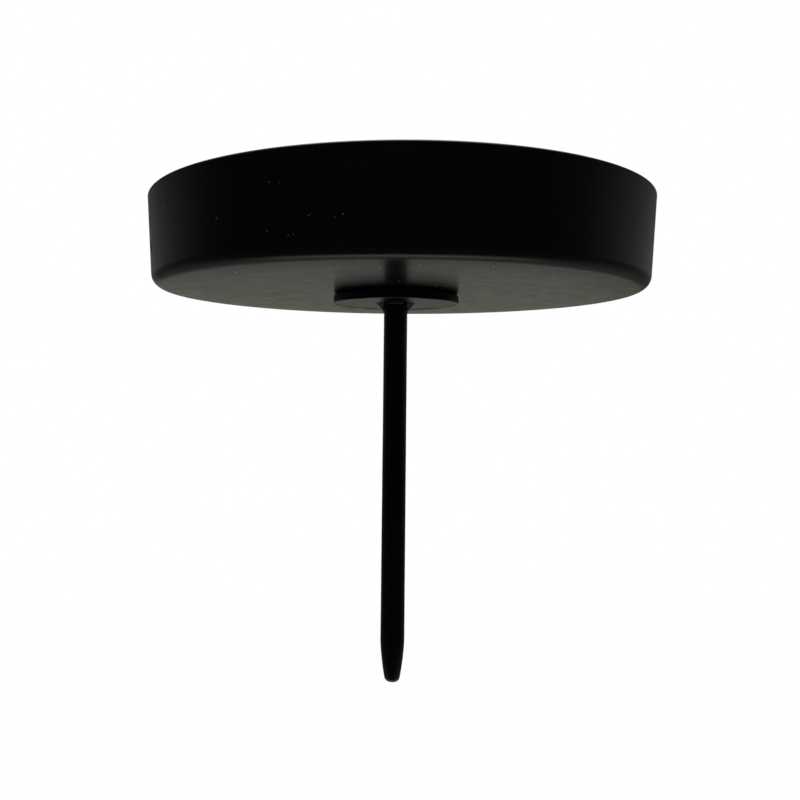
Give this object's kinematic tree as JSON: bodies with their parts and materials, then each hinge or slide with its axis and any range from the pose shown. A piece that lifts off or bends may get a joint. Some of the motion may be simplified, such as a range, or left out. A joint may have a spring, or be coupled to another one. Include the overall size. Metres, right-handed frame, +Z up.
{
  "type": "spiked candle cup",
  "caption": "Shallow round sheet-steel cup for a pillar candle, welded over a stamped plate with a blunt downward spike that pushes into a wreath, foam or a drilled block.",
  "frame": {"origin": "on the spike's axis at the top of its plain shank, just below the weld tacks, where the spike is held when it is pushed in", "axes": "+Z up along the spike's axis towards the cup's open mouth; X runs through the two weld tacks on the spike, with one weld nugget on +X"},
  "size_m": [0.08, 0.08, 0.0755],
  "materials": {
    "black_coat": "satin black powder coat",
    "weld_steel": "bare fused steel, hidden inside the joint"
  },
  "bodies": {
    "root": {"candle_cup": "black_coat", "spike_plate": "black_coat", "spike": "black_coat", "spike_tacks": "black_coat", "plate_weld_nuggets": "weld_steel"}
  },
  "joints": []
}
